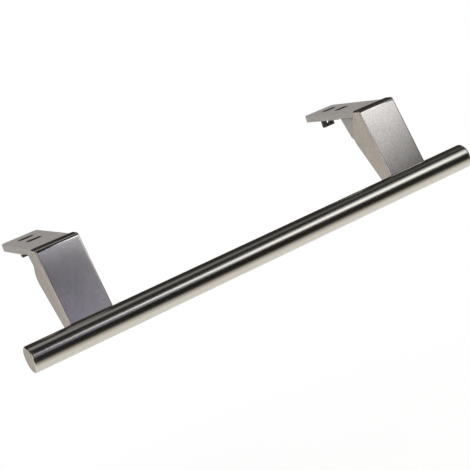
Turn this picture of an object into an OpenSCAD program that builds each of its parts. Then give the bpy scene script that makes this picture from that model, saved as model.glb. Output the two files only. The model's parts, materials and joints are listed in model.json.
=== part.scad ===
// Freezer door handle: a round bar on two angled brackets that fix on the edge of the door.
// +X runs along the bar, +Y to the rear over the door's edge, +Z out of the fixing plates.
// The origin is the middle of the four fixing slots, on the seating face under the plates.
// Everything is drawn from the bar's axis and moved to the origin once, by placed().

/* [Bar] */
// Outside diameter of the bar
bar_d = 16; // [14:0.5:18]
// Length of the bar outside each arm, over its end cap
bar_overhang = 28.7; // [20:0.1:60]
// Wall of the tube
bar_wall = 1.5; // [1:0.1:2]
// Length of tube that each end cap closes with its own rim
cap_t = 1.8; // [1.6:0.1:3]
// Rounding of the cap's outer edge
cap_edge_r = 1.2; // [0.5:0.1:1.4]
// Length of the cap's spigot inside the tube
cap_spigot_len = 8; // [4:0.5:12]

/* [Arms] */
// Distance between the middles of the two arms
arm_spacing = 230.6; // [200:0.1:250]
// Width of an arm over its cover
arm_w = 28; // [25:0.1:32]
// Place of the arm's front face at the height of the bar's axis, behind the axis
front_y0 = -0.8; // [-2:0.1:1]
// Lean of the front face from upright
front_lean = 16.7; // [12:0.1:20]
// Place of the arm's back line at the height of the bar's axis, behind the axis
back_y0 = 10.4; // [9:0.1:11]
// Lean of the arm's back line from upright
back_lean = 32.5; // [28:0.1:36]
// Height where the arm's back turns towards the plate
back_corner_z = 34; // [30:0.5:38]
// Rounding of that corner
back_corner_r = 9; // [4:0.5:12]
// Place of the upright back wall of the foot, behind the bar's axis
foot_y = 13.2; // [12.5:0.1:14]
// Depth of the foot below the bar's axis
foot_drop = 7; // [6:0.1:7.4]
// Place of the blunt nose of the saddle under the bar
nose_y = 5.4; // [5:0.1:6]
// Rounding of the foot's lower back corner
foot_r = 3; // [1:0.5:4]

/* [Plate] */
// Height of the plate's upper face above the bar's axis
plate_top_z = 51.6; // [48:0.1:56]
// Thickness of the plate
plate_t = 4.6; // [3:0.1:6]
// Width of the plate
plate_w = 24.4; // [23:0.1:24.8]
// Place of the plate's rear edge behind the bar's axis
plate_rear_y = 86.6; // [82:0.1:95]
// Depth of the relief in the plate's underside beside the rib, in front of the seat
seat_step = 0.5; // [0.2:0.1:1]
// Rounding of the plate's rear corners
plate_corner_r = 2.5; // [1:0.5:4]
// Distance between the two slots of a plate
slot_pitch = 16; // [14:0.5:18]
// Place of the middle between the slots, behind the bar's axis
slots_y = 64.4; // [62:0.1:68]
// Length of a slot from end to end
slot_len = 9.5; // [8:0.5:11]
// Width of a slot
slot_w = 6.5; // [5:0.1:7]
// Chamfer round the upper edge of a slot
slot_chamfer = 0.4; // [0.2:0.1:0.8]

/* [Rib] */
// Width of the rib under the plate
rib_w = 20; // [14:0.5:22]
// Place of the rib's back where it meets the plate, behind the bar's axis
rib_top_y = 45.2; // [42:0.1:46]
// Place of the rib's lower back corner
rib_low_y = 39.2; // [36:0.1:40]
// Height of the rib's lower back corner
rib_low_z = 33.3; // [31:0.1:35]
// Height where the rib runs out on the arm's back
rib_foot_z = 25; // [24:0.5:28]

/* [Cover] */
// Thickness of the folded cover
cover_t = 1.2; // [0.8:0.1:1.5]
// Outer radius of the folds between the front face and the cheeks
fold_r = 1.2; // [0.6:0.1:1.4]
// Outer radius of the top bend
bend_r = 3.2; // [2.5:0.1:5]
// Height of the cover's lip above the plate
lip_proud = 0.6; // [0.2:0.1:1]
// Place of the lip's rear end behind the bar's axis
lip_y = 22; // [20:0.1:26]
// Clearance between the cover and the casting
cover_gap = 0.1; // [0.05:0.05:0.2]

/* [Pocket] */
// Wall left round the pocket in the arm's back
pocket_wall = 2.6; // [2:0.1:4]
// Height of the pocket's floor above the bar's axis
pocket_low_z = 10.5; // [9:0.5:12]
// Height of the pocket's roof above the bar's axis
pocket_high_z = 23; // [20:0.5:24]

/* [Bar fixing] */
// Thread diameter of the bar screw
screw_d = 4; // [3:0.5:5]
// Length of the screw under its head
screw_len = 16; // [14:0.5:18]
// Diameter of the screw's head
head_d = 7.6; // [7:0.1:8]
// Height of the screw's head
head_h = 2.4; // [2:0.1:3]
// Width across the flats of the socket in the head
socket_af = 2.5; // [2:0.5:3]
// Depth of the socket in the head
socket_deep = 1.5; // [1:0.1:1.8]
// Thickness of the lock washer
washer_t = 0.9; // [0.5:0.1:1.2]
// Outside diameter of the lock washer
washer_d = 7.2; // [7:0.1:8]
// Clearance of the screw in its holes, on the radius
screw_gap = 0.25; // [0.1:0.05:0.4]
// Clearance left for the thread in the anchor, on the radius
thread_gap = 0.05; // [0.02:0.01:0.1]
// Length of the anchor inside the tube
anchor_len = 18; // [12:1:30]
// Clearance of the anchor and the caps in the tube, on the radius
plug_gap = 0.05; // [0.02:0.01:0.1]
// Clearance of the bar in its saddle, on the radius
saddle_gap = 0.05; // [0.02:0.01:0.1]

/* [Clip] */
// Place of the clip's middle behind the bar's axis
clip_y = 78.8; // [77:0.1:80]
// Width of the clip's loop
clip_w = 8.8; // [7:0.1:10]
// Thickness of the loop
clip_t = 2.6; // [2:0.1:3]
// Depth of the loop below the plate
clip_drop = 6.9; // [5:0.1:8]
// Width of the eye in the loop
eye_w = 2.4; // [1.6:0.1:3]
// Material left under the eye
eye_floor = 2; // [1.5:0.1:2.5]
// Width of the clip's flange along the bar
flange_w = 10.4; // [9:0.1:12]
// Depth of the clip's flange
flange_d = 5; // [4:0.1:5.4]
// Thickness of the clip's flange, which lies flush in the plate's underside
flange_t = 1.2; // [0.8:0.1:1.5]
// Diameter of the clip's stud in the plate
stud_d = 3.6; // [3:0.1:4]
// Thickness of the plate left over the clip's stud
stud_roof = 1; // [0.8:0.1:1.2]

/* [Hidden] */
// Facets of a true round and of a drawn arc
round_fn = 64;
arc_steps = 8;
// How far a cutting tool runs past the face that it opens
past = 1;
// A length that is longer than an arm
far = 100;
bar_r = bar_d / 2;
bar_len = arm_spacing + arm_w + 2 * bar_overhang;
tube_r = bar_r - bar_wall;
plate_under_z = plate_top_z - plate_t;
cover_top_z = plate_top_z + lip_proud;
core_inset = cover_t + cover_gap;
core_w = arm_w - 2 * core_inset;
saddle_r = bar_r + saddle_gap;
foot_z = (foot_y - back_y0) / tan(back_lean);
lip_low_z = cover_top_z - core_inset - cover_gap;
washer_y = foot_y + washer_t;
stud_gap = 0.05;
stud_top_z = plate_top_z - stud_roof;

// Moves what is drawn from the bar's axis to the part's origin
module placed() {
    translate([0, -slots_y, -plate_under_z]) children();
}

// Puts a piece that is drawn at the middle of an arm on the left or the right arm
module on_arm(side) {
    translate([side * arm_spacing / 2, 0, 0]) children();
}

// A side view, drawn as Y and Z, given a width along the bar
module along_x(w) {
    rotate([90, 0, 90]) translate([0, 0, -w / 2]) linear_extrude(w) children();
}

// A round bar or hole along X, centred on X = 0
module round_x(r, len) {
    rotate([0, 90, 0]) cylinder(r = r, h = len, center = true, $fn = round_fn);
}

// A round bar or hole along Y, from y0 to y1 at the height of the bar's axis
module round_y(r, y0, y1) {
    translate([0, y1, 0]) rotate([90, 0, 0]) cylinder(r = r, h = y1 - y0, $fn = round_fn);
}

function arc(cy, cz, r, from, to) =
    [for (i = [0 : arc_steps]) let (a = from + (to - from) * i / arc_steps)
        [cy + r * cos(a), cz + r * sin(a)]];
function front_y(z, inset) = front_y0 + tan(front_lean) * z + inset / cos(front_lean);
function back_y(z) = back_y0 + tan(back_lean) * z;

// The top bend: its centre is the same for the cover's outside and everything inside it
bend_z = cover_top_z - bend_r;
bend_y = front_y(bend_z, bend_r);
function bend(inset) = arc(bend_y, bend_z, bend_r - inset, 180 - front_lean, 90);

// The back corner: a rounding between the back line and the cheek's edge up to the lip
back_corner = [back_y(back_corner_z), back_corner_z];
edge_angle = atan2(lip_low_z - back_corner_z, lip_y - back_corner[0]);
line_angle = 90 - back_lean;
half_turn = (edge_angle - line_angle) / 2;
corner_set = back_corner_r / cos(half_turn);
corner_mid = (edge_angle + line_angle) / 2 + 90;
function corner_arc() = arc(back_corner[0] + corner_set * cos(corner_mid),
                            back_corner[1] + corner_set * sin(corner_mid),
                            back_corner_r, edge_angle - 90, line_angle - 90);

// Side view of the whole arm, with its front, bend and top set in by inset
function arm_outline(inset) = concat(
    [[nose_y, -foot_drop], [nose_y, 0], [front_y(0, inset), 0]],
    bend(inset),
    [[lip_y, cover_top_z - inset], [lip_y, lip_low_z]],
    corner_arc(),
    [[foot_y, foot_z]],
    arc(foot_y - foot_r, foot_r - foot_drop, foot_r, 0, -90));

// What the folded cover encloses: open at the back and at the foot
function cover_inside() = concat(
    [[front_y(-foot_drop - past, cover_t), -foot_drop - past]],
    bend(cover_t),
    [[back_corner[0] + past, cover_top_z - cover_t], [back_corner[0] + past, -foot_drop - past]]);

module saddle() {
    round_x(saddle_r, arm_w + 2 * past);
}

// Side view of the pocket in the arm's back, between two upright ends
function pocket_outline() = [
    [front_y(pocket_low_z, core_inset + pocket_wall), pocket_low_z],
    [front_y(pocket_high_z, core_inset + pocket_wall), pocket_high_z],
    [back_y(pocket_high_z) + past, pocket_high_z],
    [back_y(pocket_high_z) + past, pocket_low_z]];

// A slot along X: drilled round at both ends, with a chamfer round its upper edge
module slot() {
    reach = (slot_len - slot_w) / 2;
    top = plate_top_z - slot_chamfer;
    for (s = [-1, 1]) translate([s * reach, 0, 0]) {
        translate([0, 0, plate_under_z - past])
            cylinder(d = slot_w, h = plate_t + 2 * past, $fn = round_fn);
        translate([0, 0, top])
            cylinder(r1 = slot_w / 2, r2 = slot_w / 2 + 2 * slot_chamfer, h = 2 * slot_chamfer,
                     $fn = round_fn);
    }
    along_x(2 * reach) polygon([
        [-slot_w / 2, plate_under_z - past], [slot_w / 2, plate_under_z - past],
        [slot_w / 2, top], [slot_w / 2 + 2 * slot_chamfer, top + 2 * slot_chamfer],
        [-slot_w / 2 - 2 * slot_chamfer, top + 2 * slot_chamfer], [-slot_w / 2, top]]);
}

// Outline of the plate from a front edge to the rear, with its two rounded rear corners
module plate_outline(front) {
    translate([-plate_w / 2, front]) square([plate_w, plate_rear_y - plate_corner_r - front]);
    translate([-plate_w / 2 + plate_corner_r, front])
        square([plate_w - 2 * plate_corner_r, plate_rear_y - front]);
    for (s = [-1, 1])
        translate([s * (plate_w / 2 - plate_corner_r), plate_rear_y - plate_corner_r])
            circle(r = plate_corner_r, $fn = round_fn);
}

// The plate: full thickness behind the rib, where it seats, and relieved beside the rib
module plate() {
    translate([0, 0, plate_under_z]) linear_extrude(plate_t) plate_outline(rib_top_y);
    translate([0, 0, plate_under_z + seat_step])
        linear_extrude(plate_t - seat_step) plate_outline(lip_y + cover_gap);
}

module rib() {
    along_x(rib_w) polygon([
        [lip_y, plate_under_z + plate_t / 2], [rib_top_y, plate_under_z + plate_t / 2],
        [rib_top_y, plate_under_z], [rib_low_y, rib_low_z],
        [back_y(rib_foot_z), rib_foot_z], [lip_y, rib_foot_z + past]]);
}

// The recess under the plate for the clip's flange, and the blind hole for its stud
module clip_seat() {
    translate([-flange_w / 2 - stud_gap, clip_y - flange_d / 2 - stud_gap, plate_under_z - past])
        cube([flange_w + 2 * stud_gap, flange_d + 2 * stud_gap, flange_t + past]);
    translate([0, clip_y, plate_under_z])
        cylinder(d = stud_d + 2 * stud_gap, h = stud_top_z + stud_gap - plate_under_z,
                 $fn = round_fn);
}

module bracket() {
    color([0.60, 0.60, 0.58])
    difference() {
        union() {
            along_x(core_w) polygon(arm_outline(core_inset));
            plate();
            rib();
        }
        saddle();
        round_y(screw_d / 2 + screw_gap, 0, foot_y + past);
        along_x(core_w - 2 * pocket_wall) polygon(pocket_outline());
        for (s = [-1, 1]) translate([0, slots_y + s * slot_pitch / 2, 0]) slot();
        clip_seat();
    }
}

// Section across a face of the cover: the face lies on Y = 0 and folds into both cheeks
module folded_section() {
    side = arm_w / 2 - fold_r;
    translate([-arm_w / 2, fold_r]) square([arm_w, far]);
    translate([-side, 0]) square([2 * side, far]);
    for (s = [-1, 1]) translate([s * side, fold_r]) circle(r = fold_r, $fn = round_fn);
}

// The outside of the cover: its side view, rounded along the folds of the front and the top
module cover_outside() {
    intersection() {
        along_x(arm_w) polygon(arm_outline(0));
        translate([0, front_y0, 0]) rotate([-front_lean, 0, 0])
            translate([0, 0, -far]) linear_extrude(2 * far) folded_section();
        translate([0, -far, cover_top_z]) rotate([-90, 0, 0])
            linear_extrude(2 * far) folded_section();
    }
}

module arm_cover() {
    color([0.66, 0.64, 0.60])
    difference() {
        cover_outside();
        along_x(arm_w - 2 * cover_t) polygon(cover_inside());
        saddle();
    }
}

module handle_bar() {
    color([0.72, 0.70, 0.67])
    difference() {
        round_x(bar_r, bar_len - 2 * cap_t);
        round_x(tube_r, bar_len + 2 * past);
        for (side = [-1, 1])
            on_arm(side) round_y(screw_d / 2 + screw_gap, 0, bar_r + past);
    }
}

// A turned cap: its rim is as wide as the tube and its spigot goes inside it
module end_cap(side) {
    rim = cap_t - cap_edge_r;
    color([0.72, 0.70, 0.67])
    translate([side * (bar_len / 2 - cap_t), 0, 0])
        rotate([0, side * 90, 0])
            rotate_extrude($fn = round_fn) {
                square([bar_r, rim]);
                square([bar_r - cap_edge_r, cap_t]);
                intersection() {
                    translate([bar_r - cap_edge_r, rim]) circle(r = cap_edge_r, $fn = round_fn);
                    square([bar_r, cap_t]);
                }
                translate([0, -cap_spigot_len]) square([tube_r - plug_gap, cap_spigot_len + rim / 2]);
            }
}

// The round nut in the tube that the bar screw pulls on
module bar_anchor() {
    color([0.78, 0.66, 0.38])
    difference() {
        round_x(tube_r - plug_gap, anchor_len);
        round_y(screw_d / 2 + thread_gap, -bar_d, bar_d);
    }
}

// A button-head screw with a hexagon socket, along Y through the bar's axis
module bar_screw() {
    color([0.75, 0.75, 0.76])
    difference() {
        union() {
            round_y(screw_d / 2, washer_y - screw_len, washer_y + head_h / 2);
            translate([0, washer_y, 0]) rotate([-90, 0, 0])
                cylinder(r1 = head_d / 2, r2 = head_d / 3, h = head_h, $fn = round_fn);
        }
        translate([0, washer_y + head_h - socket_deep, 0]) rotate([-90, 0, 0])
            cylinder(d = socket_af / cos(30), h = socket_deep + past, $fn = 6);
    }
}

module lock_washer() {
    color([0.70, 0.70, 0.71])
    difference() {
        round_y(washer_d / 2, foot_y, washer_y);
        round_y(screw_d / 2 + thread_gap, foot_y - past, washer_y + past);
    }
}

// The moulded clip: a stud and a flange let into the plate, and a loop with an eye under it
module snap_clip() {
    eye_low = plate_under_z - clip_drop + eye_floor + eye_w / 2;
    eye_high = plate_under_z - eye_w / 2;
    color([0.10, 0.10, 0.10])
    translate([0, clip_y, 0]) difference() {
        union() {
            translate([-flange_w / 2, -flange_d / 2, plate_under_z])
                cube([flange_w, flange_d, flange_t]);
            translate([-clip_w / 2, -clip_t / 2, plate_under_z - clip_drop])
                cube([clip_w, clip_t, clip_drop + flange_t / 2]);
            translate([0, 0, plate_under_z])
                cylinder(d = stud_d, h = stud_top_z - plate_under_z, $fn = round_fn);
        }
        for (z = [eye_low, eye_high])
            translate([0, clip_t, z]) rotate([90, 0, 0])
                cylinder(d = eye_w, h = 2 * clip_t, $fn = round_fn);
        translate([-eye_w / 2, -clip_t, eye_low]) cube([eye_w, 2 * clip_t, eye_high - eye_low]);
    }
}

placed() handle_bar();
placed() end_cap(-1);  // end_cap_left
placed() end_cap(1);  // end_cap_right
placed() on_arm(-1) bar_anchor();  // bar_anchor_left
placed() on_arm(1) bar_anchor();  // bar_anchor_right
placed() on_arm(-1) bracket();  // bracket_left
placed() on_arm(1) bracket();  // bracket_right
placed() on_arm(-1) arm_cover();  // arm_cover_left
placed() on_arm(1) arm_cover();  // arm_cover_right
placed() on_arm(-1) bar_screw();  // bar_screw_left
placed() on_arm(1) bar_screw();  // bar_screw_right
placed() on_arm(-1) lock_washer();  // lock_washer_left
placed() on_arm(1) lock_washer();  // lock_washer_right
placed() on_arm(-1) snap_clip();  // snap_clip_left
placed() on_arm(1) snap_clip();  // snap_clip_right
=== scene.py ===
# Freezer door handle: finishes, edges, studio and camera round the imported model.
# It is laid out as an add-on and run as a script. Every object is in metres, in the frame of the
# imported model: +X along the bar, +Y to the rear over the door's edge, +Z out of the fixing plates.

import json
import math

import bpy
from bpy.props import FloatProperty, FloatVectorProperty, PointerProperty
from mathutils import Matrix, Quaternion, Vector


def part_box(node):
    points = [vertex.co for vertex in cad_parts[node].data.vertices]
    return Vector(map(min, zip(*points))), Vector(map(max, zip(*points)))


bl_info = {
    "name": "Freezer door handle",
    "version": (1, 0, 0),
    "blender": (4, 5, 0),
    "location": "3D view, sidebar, Handle",
    "description": "Finishes, edges and studio of a freezer door handle",
    "category": "Object",
}

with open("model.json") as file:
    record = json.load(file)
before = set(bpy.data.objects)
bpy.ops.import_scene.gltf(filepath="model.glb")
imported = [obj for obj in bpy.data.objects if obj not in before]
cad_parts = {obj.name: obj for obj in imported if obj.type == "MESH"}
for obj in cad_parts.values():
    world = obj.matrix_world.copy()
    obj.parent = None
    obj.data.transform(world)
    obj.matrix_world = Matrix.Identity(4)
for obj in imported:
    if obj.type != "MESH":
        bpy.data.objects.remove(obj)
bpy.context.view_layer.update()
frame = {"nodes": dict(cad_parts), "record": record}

MM = 0.001
SIDES = ("left", "right")
BAR_LOW, BAR_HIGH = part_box("handle_bar")
# The middle of the bar, which the camera and the studio are set out from
BAR_MIDDLE = (BAR_LOW + BAR_HIGH) / 2

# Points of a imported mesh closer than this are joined, and faces that turn by less than this
# become one
SEAM = 0.001 * MM
FLAT = math.radians(0.5)
# Edges sharper than this are rounded
SHARP = math.radians(28)
# The painted shade on the bare metal round a slot reaches this far from its wall, over the chamfer
SLOT_SHADE_EDGE = 0.5 * MM
# A face with more than this of its normal upright is level, so it isn't a slot's wall
LEVEL = 0.8

# Distances from the bar's middle to the studio's panels, in metres
REAR_REACH = 2.2
BOX_REACH = 2.3
REFLECTOR_REACH = 2.4
TENT_REACH = 2.6
# A panel that lies on the floor is this much over it
FLOOR_GAP = 2 * MM
# Half the side of the floor, and the distances between which it turns plain white
FLOOR_HALF = 4.0
FLOOR_WHITE_FROM, FLOOR_WHITE_TO = 0.15, 0.7
# The world's strength where it lights the dull pieces
SURROUND_LIGHT = 0.35

# Each lamp's place from the bar's middle and the length of its side, in metres
OVERHEAD_PLACE, OVERHEAD_SIDE = Vector((0.3, -0.2, 1.9)), 2.2
FRONT_PLACE, FRONT_SIDE = Vector((-1.2, -1.35, 0.9)), 1.4

# From the bar's middle to the point that the photograph's middle shows
AIM = Vector((0.3, 35.6, 7.4)) * MM
# The camera's sensor in millimetres, and its nearest and farthest sight in metres
SENSOR_WIDTH = 36
SIGHT_NEAR, SIGHT_FAR = 0.01, 50


def linear(hex_code):
    """The linear colour of an sRGB hex value such as #C8C6BE."""
    parts = [int(hex_code[i:i + 2], 16) / 255 for i in (1, 3, 5)]
    return tuple(c / 12.92 if c <= 0.04045 else ((c + 0.055) / 1.055) ** 2.4 for c in parts)


def colour(name, description, hex_code):
    """A colour property whose default is an sRGB hex value."""
    return FloatVectorProperty(name=name, description=description, subtype="COLOR", size=3,
                               min=0, max=1, default=linear(hex_code))


def length(name, description, default):
    """A length property in metres."""
    return FloatProperty(name=name, description=description, default=default, min=0,
                         subtype="DISTANCE", unit="LENGTH", precision=5)


def angle(name, description, degrees):
    """An angle property, written in degrees."""
    return FloatProperty(name=name, description=description, default=math.radians(degrees),
                         subtype="ANGLE", unit="ROTATION")


def share(name, description, default):
    """A plain number from 0 to 1."""
    return FloatProperty(name=name, description=description, default=default, min=0, max=1)


class HandleFinishes(bpy.types.PropertyGroup):
    tube_steel: colour("Tube steel", "Colour of the brushed stainless tube and caps", "#CCC7BD")
    tube_roughness: share("Tube roughness", "Roughness of the brushed tube", 0.21)
    cover_steel: colour("Cover steel", "Colour of the folded satin stainless cover", "#CCC6C0")
    cover_roughness: share("Cover roughness", "Roughness of the satin cover", 0.17)
    zinc: colour("Zinc casting", "Colour of the blasted and lacquered zinc casting", "#BAB5B1")
    zinc_roughness: share("Zinc roughness", "Roughness of the zinc casting", 0.46)
    # Painted shade: the dark slot colour stands in for the shade inside the slots.
    slot_shade_zinc: colour("Bare zinc", "Colour of the bare zinc in the slots", "#4A423E")
    brass: colour("Brass", "Colour of the turned brass anchors", "#D2B46A")
    plating: colour("Zinc plating", "Colour of the bright plated screws and washers", "#BFC2C6")
    polyamide: colour("Polyamide", "Colour of the moulded black clip", "#3A3936")


class HandleEdges(bpy.types.PropertyGroup):
    cover_break: length("Cover edge", "Width of the rounding on the cover's edges", 0.3 * MM)
    casting_break: length("Casting edge", "Width of the rounding on the casting's edges", 0.25 * MM)
    bar_break: length("Bar edge", "Width of the broken edge at the bar's seams", 0.12 * MM)
    fixing_break: length("Fixing edge", "Width of the rounding on screws and anchors", 0.2 * MM)
    clip_break: length("Clip edge", "Width of the rounding on the clip", 0.3 * MM)


class HandleStudio(bpy.types.PropertyGroup):
    floor_drop: length("Floor drop", "Height of the bar's middle over the floor", 0.30)
    floor_lift: share("Floor lift", "White added to what the camera sees of the floor", 0.20)
    overhead_power: FloatProperty(name="Overhead lamp", description="Power of the lamp overhead",
                                  default=31, min=0, subtype="POWER", unit="POWER")
    front_power: FloatProperty(name="Front lamp", description="Power of the lamp in front",
                               default=10, min=0, subtype="POWER", unit="POWER")
    camera_azimuth: angle("Camera azimuth", "Turn of the camera round the handle", -24.84)
    camera_elevation: angle("Camera elevation", "Height angle of the camera", 11.82)
    camera_roll: angle("Camera roll", "Roll of the camera about its own line of sight", -19.26)
    camera_distance: length("Camera distance", "Distance from the camera to what it aims at",
                            0.7478)
    camera_lens: FloatProperty(name="Camera lens", description="Focal length in millimetres",
                               default=91.58, min=20, max=300, unit="CAMERA")


def add(tree, kind, inputs=None, **settings):
    """A node of that kind with its settings. Each input is a socket to link from or a value."""
    node = tree.nodes.new(kind)
    for name, value in settings.items():
        setattr(node, name, value)
    for name, value in (inputs or {}).items():
        if isinstance(value, bpy.types.NodeSocket):
            tree.links.new(value, node.inputs[name])
        else:
            node.inputs[name].default_value = value
    return node


def new_material(name):
    """An empty node material and its tree."""
    material = bpy.data.materials.new(name)
    material.use_nodes = True
    material.node_tree.nodes.clear()
    return material, material.node_tree


def grain(tree, cell, detail=3.0):
    """Noise in the part's own place. cell is the size of its spots in millimetres, (x, y, z)."""
    place = add(tree, "ShaderNodeTexCoord")
    scaled = add(tree, "ShaderNodeMapping", {"Vector": place.outputs["Object"],
                                             "Scale": [1 / (size * MM) for size in cell]})
    noise = add(tree, "ShaderNodeTexNoise", {"Vector": scaled.outputs["Vector"], "Scale": 1.0,
                                             "Detail": detail, "Roughness": 0.55})
    return noise.outputs["Fac"]


def toned(colour_value, factor):
    """That colour made darker or lighter, with the fourth number that a shader's socket wants."""
    return (*(min(1.0, c * factor) for c in colour_value), 1)


def brushed_stainless_tube(look):
    """Stainless tube, brushed along its length with a belt."""
    material, tree = new_material("brushed_stainless_tube")
    # The belt leaves lines of about 0.1 mm along the tube: they draw the lights out into long
    # stripes with soft edges. They are drawn 0.8 mm wide, or they wouldn't show.
    lines = grain(tree, (45, 0.8, 0.8), detail=4)
    # The belt's pressure changes over some centimetres, so the stripes wander a little.
    passes = grain(tree, (60, 7, 7), detail=1)
    base = add(tree, "ShaderNodeMix", {"Factor": lines, "A": toned(look.tube_steel, 0.86),
                                       "B": toned(look.tube_steel, 1.10)}, data_type="RGBA")
    soft = add(tree, "ShaderNodeMapRange", {"Value": passes, "From Min": 0.3, "From Max": 0.7,
                                            "To Min": look.tube_roughness - 0.015,
                                            "To Max": look.tube_roughness + 0.015})
    bump = add(tree, "ShaderNodeBump", {"Height": lines, "Strength": 0.25, "Distance": 0.01 * MM})
    shader = add(tree, "ShaderNodeBsdfPrincipled",
                 {"Base Color": base.outputs["Result"], "Metallic": 1.0,
                  "Roughness": soft.outputs["Result"], "Normal": bump.outputs["Normal"]})
    add(tree, "ShaderNodeOutputMaterial", {"Surface": shader.outputs["BSDF"]})
    return material


def satin_stainless_cover(look):
    """Stainless sheet with a fine satin finish, folded to the shape of the arm."""
    material, tree = new_material("satin_stainless_cover")
    # The satin belt ran down the arm. Its lines are finer than 0.1 mm: they give the flat faces
    # an even tone like cloth. They are drawn 0.8 mm wide and 2 mm long, or they wouldn't show.
    lines = grain(tree, (0.8, 0.8, 2), detail=2)
    # Handling and washing leave clouds of about a centimetre, hardly lighter or darker.
    clouds = grain(tree, (10, 10, 12), detail=1)
    cloud_weight = 0.3
    mixed = add(tree, "ShaderNodeMath", {0: clouds, 1: cloud_weight, 2: lines},
                operation="MULTIPLY_ADD")
    lightness = add(tree, "ShaderNodeMapRange", {"Value": mixed.outputs["Value"],
                                                 "From Min": 0.4, "From Max": 0.9})
    tone = add(tree, "ShaderNodeMix", {"Factor": lightness.outputs["Result"],
                                       "A": toned(look.cover_steel, 0.87),
                                       "B": toned(look.cover_steel, 1.11)}, data_type="RGBA")
    shader = add(tree, "ShaderNodeBsdfPrincipled",
                 {"Base Color": tone.outputs["Result"], "Metallic": 1.0,
                  "Roughness": look.cover_roughness})
    add(tree, "ShaderNodeOutputMaterial", {"Surface": shader.outputs["BSDF"]})
    return material


def lacquered_zinc_casting(look):
    """Die-cast zinc, blasted and lacquered in a metallic grey."""
    material, tree = new_material("lacquered_zinc_casting")
    # Blasting grit of about 0.2 mm leaves a sandy face that spreads every light: the casting
    # looks dull and even beside the steel. The grit is drawn at 0.6 mm, or it wouldn't show.
    sand = grain(tree, (0.6, 0.6, 0.6), detail=4)
    tone = add(tree, "ShaderNodeMix", {"Factor": sand, "A": toned(look.zinc, 0.88),
                                       "B": toned(look.zinc, 1.12)}, data_type="RGBA")
    soft = add(tree, "ShaderNodeMapRange", {"Value": sand, "From Min": 0.3, "From Max": 0.7,
                                            "To Min": look.zinc_roughness - 0.05,
                                            "To Max": look.zinc_roughness + 0.05})
    bump = add(tree, "ShaderNodeBump", {"Height": sand, "Strength": 0.3, "Distance": 0.03 * MM})
    # Painted shade: corners and crevices are darkened over about 2.5 mm by ambient occlusion, where
    # shade falls.
    corners = add(tree, "ShaderNodeAmbientOcclusion", {"Distance": 2.5 * MM}, samples=8)
    painted_corner_shade = add(tree, "ShaderNodeMapRange", {"Value": corners.outputs["AO"], "From Min": 0.35,
                                            "From Max": 0.9, "To Min": 0.35, "To Max": 1.0})
    corner_shaded_tone = add(tree, "ShaderNodeVectorMath", {0: tone.outputs["Result"],
                                               "Scale": painted_corner_shade.outputs["Result"]},
                operation="SCALE")
    # Aluminium flakes in the lacquer give it a part of a metal's shine.
    shader = add(tree, "ShaderNodeBsdfPrincipled",
                 {"Base Color": corner_shaded_tone.outputs["Vector"], "Metallic": 0.35,
                  "Roughness": soft.outputs["Result"], "Normal": bump.outputs["Normal"]})
    add(tree, "ShaderNodeOutputMaterial", {"Surface": shader.outputs["BSDF"]})
    return material


def shaded_slot_wall(look):
    """Zinc in the milled slots, bare of lacquer, in a dark grey that is painted shade inside the
    slots.
    """
    material, tree = new_material("shaded_slot_wall")
    # The cutter leaves rings of 0.2 mm round the wall. The dark grey is painted shade inside the
    # slot. The rings are drawn 0.4 mm high, or they wouldn't show.
    rings = grain(tree, (3, 3, 0.4), detail=2)
    tone = add(tree, "ShaderNodeMix", {"Factor": rings, "A": toned(look.slot_shade_zinc, 0.7),
                                       "B": toned(look.slot_shade_zinc, 1.3)}, data_type="RGBA")
    shader = add(tree, "ShaderNodeBsdfPrincipled",
                 {"Base Color": tone.outputs["Result"], "Metallic": 0.6, "Roughness": 0.5})
    add(tree, "ShaderNodeOutputMaterial", {"Surface": shader.outputs["BSDF"]})
    return material


def turned_brass(look):
    """Brass rod, turned and drilled."""
    material, tree = new_material("turned_brass")
    # A turning feed of 0.3 mm leaves rings round a warm yellow metal, which catch the light.
    rings = grain(tree, (0.3, 30, 30), detail=2)
    tone = add(tree, "ShaderNodeMix", {"Factor": rings, "A": toned(look.brass, 0.90),
                                       "B": toned(look.brass, 1.06)}, data_type="RGBA")
    bump = add(tree, "ShaderNodeBump", {"Height": rings, "Strength": 0.2, "Distance": 0.02 * MM})
    shader = add(tree, "ShaderNodeBsdfPrincipled",
                 {"Base Color": tone.outputs["Result"], "Metallic": 1.0, "Roughness": 0.28,
                  "Normal": bump.outputs["Normal"]})
    add(tree, "ShaderNodeOutputMaterial", {"Surface": shader.outputs["BSDF"]})
    return material


def plated_steel(look):
    """Cold-headed steel, bright zinc plated."""
    material, tree = new_material("plated_steel")
    # Plating is a little bluish, with faint clouds of about 1.5 mm from the bath.
    clouds = grain(tree, (1.5, 1.5, 1.5), detail=3)
    tone = add(tree, "ShaderNodeMix", {"Factor": clouds, "A": toned(look.plating, 0.86),
                                       "B": toned(look.plating, 1.06)}, data_type="RGBA")
    soft = add(tree, "ShaderNodeMapRange", {"Value": clouds, "From Min": 0.3, "From Max": 0.7,
                                            "To Min": 0.24, "To Max": 0.36})
    shader = add(tree, "ShaderNodeBsdfPrincipled",
                 {"Base Color": tone.outputs["Result"], "Metallic": 1.0,
                  "Roughness": soft.outputs["Result"]})
    add(tree, "ShaderNodeOutputMaterial", {"Surface": shader.outputs["BSDF"]})
    return material


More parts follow.
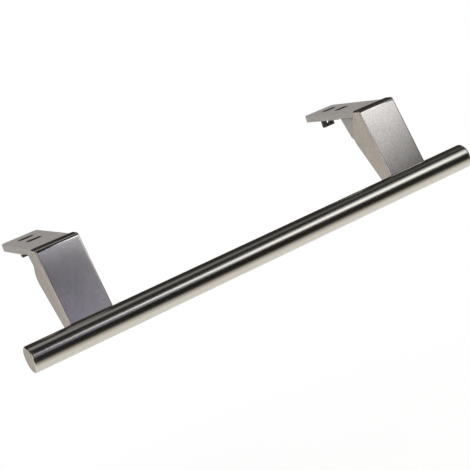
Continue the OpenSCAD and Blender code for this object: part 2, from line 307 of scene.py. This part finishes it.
def moulded_polyamide(look):
    """Black polyamide, moulded in a spark-eroded tool."""
    material, tree = new_material("moulded_polyamide")
    # The eroded tool leaves a grain of about 0.3 mm: dull black with a soft sheen.
    grit = grain(tree, (0.3, 0.3, 0.3), detail=3)
    tone = add(tree, "ShaderNodeMix", {"Factor": grit, "A": toned(look.polyamide, 0.7),
                                       "B": toned(look.polyamide, 1.3)}, data_type="RGBA")
    soft = add(tree, "ShaderNodeMapRange", {"Value": grit, "From Min": 0.3, "From Max": 0.7,
                                            "To Min": 0.42, "To Max": 0.55})
    bump = add(tree, "ShaderNodeBump", {"Height": grit, "Strength": 0.2, "Distance": 0.03 * MM})
    shader = add(tree, "ShaderNodeBsdfPrincipled",
                 {"Base Color": tone.outputs["Result"], "Metallic": 0.0, "IOR": 1.53,
                  "Roughness": soft.outputs["Result"], "Normal": bump.outputs["Normal"]})
    add(tree, "ShaderNodeOutputMaterial", {"Surface": shader.outputs["BSDF"]})
    return material


def dress(names, material, edge):
    """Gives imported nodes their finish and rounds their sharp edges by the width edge."""
    for name in names:
        node = frame["nodes"][name]
        mesh = node.data
        for slot in node.material_slots:
            slot.material = material
        if "custom_normal" in mesh.attributes:
            mesh.attributes.remove(mesh.attributes["custom_normal"])
        mesh.polygons.foreach_set("use_smooth", [True] * len(mesh.polygons))
        if "sharp_edge" in mesh.attributes:
            mesh.attributes.remove(mesh.attributes["sharp_edge"])
        weld = node.modifiers.new("join_seams", "WELD")
        weld.merge_threshold = SEAM
        flats = node.modifiers.new("whole_faces", "DECIMATE")
        flats.decimate_type = "DISSOLVE"
        flats.angle_limit = FLAT
        bevel = node.modifiers.new("broken_edges", "BEVEL")
        bevel.width = edge
        bevel.segments = 3
        bevel.limit_method = "ANGLE"
        bevel.angle_limit = SHARP
        bevel.use_clamp_overlap = False
        bevel.harden_normals = True
        bevel.miter_outer = "MITER_ARC"


def both(name):
    """The left and the right node of that name."""
    return [f"{name}_{side}" for side in SIDES]


class HANDLE_OT_bar(bpy.types.Operator):
    """Finish the brushed tube and its two end caps"""
    bl_idname = "handle.bar"
    bl_label = "Bar and end caps"

    def execute(self, context):
        look, edges = context.scene.handle_finishes, context.scene.handle_edges
        dress(["handle_bar", *both("end_cap")], brushed_stainless_tube(look), edges.bar_break)
        return {"FINISHED"}


class HANDLE_OT_covers(bpy.types.Operator):
    """Finish the folded covers of the two arms"""
    bl_idname = "handle.covers"
    bl_label = "Arm covers"

    def execute(self, context):
        look, edges = context.scene.handle_finishes, context.scene.handle_edges
        dress(both("arm_cover"), satin_stainless_cover(look), edges.cover_break)
        return {"FINISHED"}


class HANDLE_OT_brackets(bpy.types.Operator):
    """Finish the two zinc castings, and give the walls of their slots a dark grey of painted shade
    on bare zinc
    """
    bl_idname = "handle.brackets"
    bl_label = "Brackets"

    def execute(self, context):
        look, edges = context.scene.handle_finishes, context.scene.handle_edges
        dress(both("bracket"), lacquered_zinc_casting(look), edges.casting_break)
        self.shade_slot_walls(shaded_slot_wall(look))
        return {"FINISHED"}

    def shade_slot_walls(self, material):
        """Gives the walls and the chamfers of the mount's four slots their own material, a dark grey
        of painted shade.
        """
        mount = next(m for m in frame["record"]["mounts"] if m["name"] == "door_slots")
        dims = {name: value * MM for name, value in mount["dims"].items() if "mm" in name}
        radius = dims["hole_r_mm"]
        reach = dims["slot_length_mm"] / 2 - radius
        for name in both("bracket"):
            node = frame["nodes"][name]
            node.data.materials.append(material)
            for face in node.data.polygons:
                spot = node.matrix_world @ face.center
                x = max(abs(abs(spot.x) - dims["spacing_x_mm"] / 2) - reach, 0)
                y = abs(abs(spot.y) - dims["spacing_y_mm"] / 2)
                if math.hypot(x, y) < radius + SLOT_SHADE_EDGE and abs(face.normal.z) < LEVEL:
                    face.material_index = len(node.data.materials) - 1


class HANDLE_OT_fixings(bpy.types.Operator):
    """Finish the screws, the lock washers and the anchors that hold the bar"""
    bl_idname = "handle.fixings"
    bl_label = "Bar fixings"

    def execute(self, context):
        look, edges = context.scene.handle_finishes, context.scene.handle_edges
        dress([*both("bar_screw"), *both("lock_washer")], plated_steel(look),
              edges.fixing_break)
        dress(both("bar_anchor"), turned_brass(look), edges.fixing_break)
        return {"FINISHED"}


class HANDLE_OT_clips(bpy.types.Operator):
    """Finish the moulded clips under the plates"""
    bl_idname = "handle.clips"
    bl_label = "Snap clips"

    def execute(self, context):
        look, edges = context.scene.handle_finishes, context.scene.handle_edges
        dress(both("snap_clip"), moulded_polyamide(look), edges.clip_break)
        return {"FINISHED"}


def direction(across, up):
    """A direction from the bar: across is the angle towards +X, up is the angle from the front
    over the top, both in degrees."""
    a, u = math.radians(across), math.radians(up)
    return Vector((math.sin(a), -math.cos(a) * math.cos(u), math.cos(a) * math.sin(u)))


def panel(name, corners, material, reach=None, floor_drop=None, steps=24):
    """A studio panel round the bar, which shows in the metal and nowhere else. corners are the
    (across, up) angles of its lower left, lower right, upper right and upper left corner. It
    stands at the distance reach, or lies on the floor, which is floor_drop under the bar."""
    lower_left, lower_right, upper_right, upper_left = [Vector(c) for c in corners]
    points, faces, along, rise = [], [], [], []
    for j in range(steps + 1):
        for i in range(steps + 1):
            s, t = i / steps, j / steps
            low = lower_left.lerp(lower_right, s)
            high = upper_left.lerp(upper_right, s)
            ray = direction(*low.lerp(high, t))
            points.append(BAR_MIDDLE + ray * (reach or (FLOOR_GAP - floor_drop) / ray.z))
            along.append(s)
            rise.append(t)
    row = steps + 1
    for j in range(steps):
        for i in range(steps):
            corner = j * row + i
            faces.append((corner, corner + 1, corner + row + 1, corner + row))
    mesh = bpy.data.meshes.new(name)
    mesh.from_pydata(points, [], faces)
    mesh.attributes.new("along", "FLOAT", "POINT").data.foreach_set("value", along)
    mesh.attributes.new("rise", "FLOAT", "POINT").data.foreach_set("value", rise)
    mesh.materials.append(material)
    cloth_object = bpy.data.objects.new(name, mesh)
    bpy.context.scene.collection.objects.link(cloth_object)
    cloth_object.visible_camera = False
    cloth_object.visible_shadow = False
    cloth_object.visible_diffuse = False


def cloth(name, left_hex, right_hex, *ramps, strength=1.0):
    """A panel's glowing cloth, coloured from left to right. Each ramp holds the direction that it
    runs in, along or rise, two places as shares of the panel, and its factor at both."""
    material, tree = new_material(name)
    power = strength
    for attribute, start, end, first, last in ramps:
        place = add(tree, "ShaderNodeAttribute", attribute_name=attribute)
        ramp = add(tree, "ShaderNodeMapRange",
                   {"Value": place.outputs["Fac"], "From Min": start, "From Max": end,
                    "To Min": first, "To Max": last}, interpolation_type="SMOOTHSTEP")
        power = add(tree, "ShaderNodeMath", {0: ramp.outputs["Result"], 1: power},
                    operation="MULTIPLY").outputs["Value"]
    side = add(tree, "ShaderNodeAttribute", attribute_name="along")
    tone = add(tree, "ShaderNodeMix", {"Factor": side.outputs["Fac"],
                                       "A": toned(linear(left_hex), 1),
                                       "B": toned(linear(right_hex), 1)}, data_type="RGBA")
    glow = add(tree, "ShaderNodeEmission", {"Color": tone.outputs["Result"], "Strength": power})
    add(tree, "ShaderNodeOutputMaterial", {"Surface": glow.outputs["Emission"]})
    return material


def lamp(name, place, size, power):
    """A large soft lamp that looks at the handle and doesn't show in the metal."""
    light = bpy.data.lights.new(name, "AREA")
    light.shape = "SQUARE"
    light.size = size
    light.energy = power
    lamp_object = bpy.data.objects.new(name, light)
    bpy.context.scene.collection.objects.link(lamp_object)
    lamp_object.location = BAR_MIDDLE + place
    lamp_object.rotation_mode = "QUATERNION"
    lamp_object.rotation_quaternion = (-place).to_track_quat("-Z", "Y")
    lamp_object.visible_glossy = False
    lamp_object.visible_camera = False


class HANDLE_OT_stage(bpy.types.Operator):
    """Set up the pale floor, the white surround, the studio panels and the lamps"""
    bl_idname = "handle.stage"
    bl_label = "Stage and lights"

    def execute(self, context):
        studio = context.scene.handle_studio
        context.scene.view_settings.view_transform = "Standard"
        self.white_surround(context.scene)
        self.pale_floor(studio)
        self.panels(studio)
        lamp("overhead_lamp", OVERHEAD_PLACE, OVERHEAD_SIDE, studio.overhead_power)
        lamp("front_lamp", FRONT_PLACE, FRONT_SIDE, studio.front_power)
        return {"FINISHED"}

    def seen(self, tree):
        """1 for camera, glossy and transmission rays, and 0 for the light that falls on things."""
        path = add(tree, "ShaderNodeLightPath")
        some = add(tree, "ShaderNodeMath", {0: path.outputs["Is Camera Ray"],
                                            1: path.outputs["Is Glossy Ray"]},
                   operation="MAXIMUM")
        return add(tree, "ShaderNodeMath", {0: some.outputs["Value"],
                                            1: path.outputs["Is Transmission Ray"]},
                   operation="MAXIMUM").outputs["Value"]

    def white_surround(self, scene):
        """A white world, which lights the dull pieces less strongly than it shows."""
        scene.world = bpy.data.worlds.new("white_surround")
        scene.world.use_nodes = True
        tree = scene.world.node_tree
        tree.nodes.clear()
        power = add(tree, "ShaderNodeMapRange", {"Value": self.seen(tree),
                                                 "To Min": SURROUND_LIGHT, "To Max": 1.0})
        white = add(tree, "ShaderNodeBackground", {"Color": (1, 1, 1, 1),
                                                   "Strength": power.outputs["Result"]})
        add(tree, "ShaderNodeOutputWorld", {"Surface": white.outputs["Background"]})

    def pale_floor(self, studio):
        """A matt white table. What the camera and the metal see of it is lifted a little, and
        far from the handle it is plain white, so it has no edge and keeps its shadow near."""
        material, tree = new_material("matt_white_table")
        seen = self.seen(tree)
        matt = add(tree, "ShaderNodeBsdfDiffuse", {"Color": toned(linear("#F3F3F2"), 1)})
        lift = add(tree, "ShaderNodeMath", {0: seen, 1: studio.floor_lift}, operation="MULTIPLY")
        glow = add(tree, "ShaderNodeEmission", {"Color": (1, 1, 1, 1),
                                                "Strength": lift.outputs["Value"]})
        near = add(tree, "ShaderNodeAddShader", {0: matt.outputs["BSDF"],
                                                 1: glow.outputs["Emission"]})
        place = add(tree, "ShaderNodeTexCoord")
        distance = add(tree, "ShaderNodeVectorMath", {0: place.outputs["Object"]},
                       operation="LENGTH")
        fade = add(tree, "ShaderNodeMapRange", {"Value": distance.outputs["Value"],
                                                "From Min": FLOOR_WHITE_FROM,
                                                "From Max": FLOOR_WHITE_TO},
                   interpolation_type="SMOOTHSTEP")
        both_true = add(tree, "ShaderNodeMath", {0: seen, 1: fade.outputs["Result"]},
                        operation="MULTIPLY")
        far = add(tree, "ShaderNodeEmission", {"Color": (1, 1, 1, 1), "Strength": 1.0})
        table = add(tree, "ShaderNodeMixShader", {0: both_true.outputs["Value"],
                                                  1: near.outputs["Shader"],
                                                  2: far.outputs["Emission"]})
        add(tree, "ShaderNodeOutputMaterial", {"Surface": table.outputs["Shader"]})
        mesh = bpy.data.meshes.new("floor")
        corners = [(x * FLOOR_HALF, y * FLOOR_HALF, 0)
                   for x, y in ((-1, -1), (1, -1), (1, 1), (-1, 1))]
        mesh.from_pydata(corners, [], [(0, 1, 2, 3)])
        mesh.materials.append(material)
        floor = bpy.data.objects.new("floor", mesh)
        floor.location = BAR_MIDDLE - Vector((0, 0, studio.floor_drop))
        bpy.context.scene.collection.objects.link(floor)

    def panels(self, studio):
        """Black cloth over and before the handle, with soft boxes and one long strip in it. The
        angles are those at which the bar and the arms mirror each panel in the photograph."""
        drop = studio.floor_drop
        panel("tent", [(-80, -8), (80, -8), (80, 176), (-80, 176)],
              cloth("black_tent_cloth", "#FFF4EC", "#FFF4EC", ("rise", 0.2, 0.8, 0.018, 0.04)),
              reach=TENT_REACH, steps=40)
        # Nearly white close to the bar and black farther in front: it draws the dark lower front
        # of the bar, with a soft lower edge.
        panel("cloth_on_floor", [(-65, -64), (65, -64), (65, -6), (-65, -6)],
              cloth("black_floor_cloth", "#FFFBF6", "#FFFBF6",
                    ("rise", 0.14, 0.70, 0.81, 0.018)), floor_drop=drop, steps=40)
        # The cheeks and the left end cap mirror this card, and the plates' front edges a little.
        panel("grey_card_behind", [(-70, 222), (12, 222), (12, 184), (-70, 184)],
              cloth("grey_card", "#FFFAF2", "#FFFAF2", ("along", 0.46, 0.67, 0.63, 0.48)),
              floor_drop=drop)
        # The bright stripe on the bar, and the light on the right arm's front
        soft = cloth("soft_box_cloth", "#F8FBFF", "#F8FBFF", ("along", 0.5, 0.8, 2.05, 2.15),
                     ("rise", 0.01, 0.33, 0.19, 1), ("rise", 0.35, 1.0, 1, 0.02))
        panel("soft_box", [(22, 18.5), (42, 20.3), (42, 80), (22, 50)], soft, reach=BOX_REACH)
        # The stripe's left part, and the light on the upper part of the left arm's front
        narrow = cloth("narrow_box_cloth", "#E4E8FF", "#F8FBFF", ("along", 0, 1, 2.4, 2.0),
                       ("rise", 0.35, 1.0, 1, 0.02))
        panel("narrow_box", [(8, 31.5), (22, 29.0), (22, 50), (8, 34)], narrow, reach=BOX_REACH)
        # The light line on the folds at the left of both fronts
        panel("side_box", [(-60, 4), (-20, 8), (-20, 60), (-60, 60)],
              cloth("side_box_cloth", "#FFFFFF", "#FFFFFF", strength=1.1), reach=BOX_REACH)
        # The violet grey of the left arm's front, and the stripe's soft upper edge at the left
        panel("cool_reflector", [(4, 14.5), (27, 14.5), (27, 28), (4, 28)],
              cloth("cool_reflector_cloth", "#DFE1FA", "#DFE1FA", ("along", 0.7, 1.0, 1, 0.2),
                    ("rise", 0.45, 0.95, 0.50, 0.12)), reach=REFLECTOR_REACH)
        # The weaker stripe on top of the bar, which fades to the right, and the line in the bends
        strip = cloth("overhead_strip_cloth", "#F8FAFF", "#F8FAFF",
                      ("along", 0.3, 0.85, 0.42, 0.11))
        panel("overhead_strip", [(-12, 77), (45, 88), (45, 106), (-12, 108)], strip,
              reach=REFLECTOR_REACH)
        # Light for the back, from both sides
        rear = cloth("rear_box_cloth", "#FFFFFF", "#FFFFFF", strength=1.2)
        panel("rear_box_right", [(46, 112), (76, 112), (76, 150), (46, 150)], rear,
              reach=REAR_REACH)
        panel("rear_box_left", [(-76, 112), (-46, 112), (-46, 150), (-76, 150)], rear,
              reach=REAR_REACH)


class HANDLE_OT_camera(bpy.types.Operator):
    """Place the camera at the photograph's viewing angle"""
    bl_idname = "handle.camera"
    bl_label = "Camera"

    def execute(self, context):
        studio = context.scene.handle_studio
        aim = BAR_MIDDLE + AIM
        a, e = studio.camera_azimuth, studio.camera_elevation
        back = Vector((math.sin(a) * math.cos(e), -math.cos(a) * math.cos(e), math.sin(e)))
        camera_data = bpy.data.cameras.new("camera")
        camera_data.lens = studio.camera_lens
        camera_data.sensor_width = SENSOR_WIDTH
        camera_data.clip_start, camera_data.clip_end = SIGHT_NEAR, SIGHT_FAR
        camera = bpy.data.objects.new("camera", camera_data)
        context.scene.collection.objects.link(camera)
        camera.location = aim + back * studio.camera_distance
        camera.rotation_mode = "QUATERNION"
        roll = Quaternion((0, 0, 1), studio.camera_roll)
        camera.rotation_quaternion = (-back).to_track_quat("-Z", "Y") @ roll
        context.scene.camera = camera
        return {"FINISHED"}


class HANDLE_PT_panel(bpy.types.Panel):
    """The handle's sizes, finishes and steps"""
    bl_idname = "HANDLE_PT_panel"
    bl_label = "Freezer door handle"
    bl_space_type = "VIEW_3D"
    bl_region_type = "UI"
    bl_category = "Handle"

    def draw(self, context):
        for group in (context.scene.handle_finishes, context.scene.handle_edges,
                      context.scene.handle_studio):
            column = self.layout.column()
            for name in group.__annotations__:
                column.prop(group, name)
        for step in STEPS:
            self.layout.operator(step.bl_idname)


STEPS = (HANDLE_OT_bar, HANDLE_OT_covers, HANDLE_OT_brackets, HANDLE_OT_fixings, HANDLE_OT_clips,
         HANDLE_OT_stage, HANDLE_OT_camera)
CLASSES = (HandleFinishes, HandleEdges, HandleStudio, *STEPS, HANDLE_PT_panel)


def register():
    for cls in CLASSES:
        bpy.utils.register_class(cls)
    bpy.types.Scene.handle_finishes = PointerProperty(type=HandleFinishes)
    bpy.types.Scene.handle_edges = PointerProperty(type=HandleEdges)
    bpy.types.Scene.handle_studio = PointerProperty(type=HandleStudio)


def unregister():
    del bpy.types.Scene.handle_studio
    del bpy.types.Scene.handle_edges
    del bpy.types.Scene.handle_finishes
    for cls in reversed(CLASSES):
        bpy.utils.unregister_class(cls)


def main():
    register()
    bpy.ops.handle.bar()
    bpy.ops.handle.covers()
    bpy.ops.handle.brackets()
    bpy.ops.handle.fixings()
    bpy.ops.handle.clips()
    bpy.ops.handle.stage()
    bpy.ops.handle.camera()


if __name__ == "__main__":
    main()
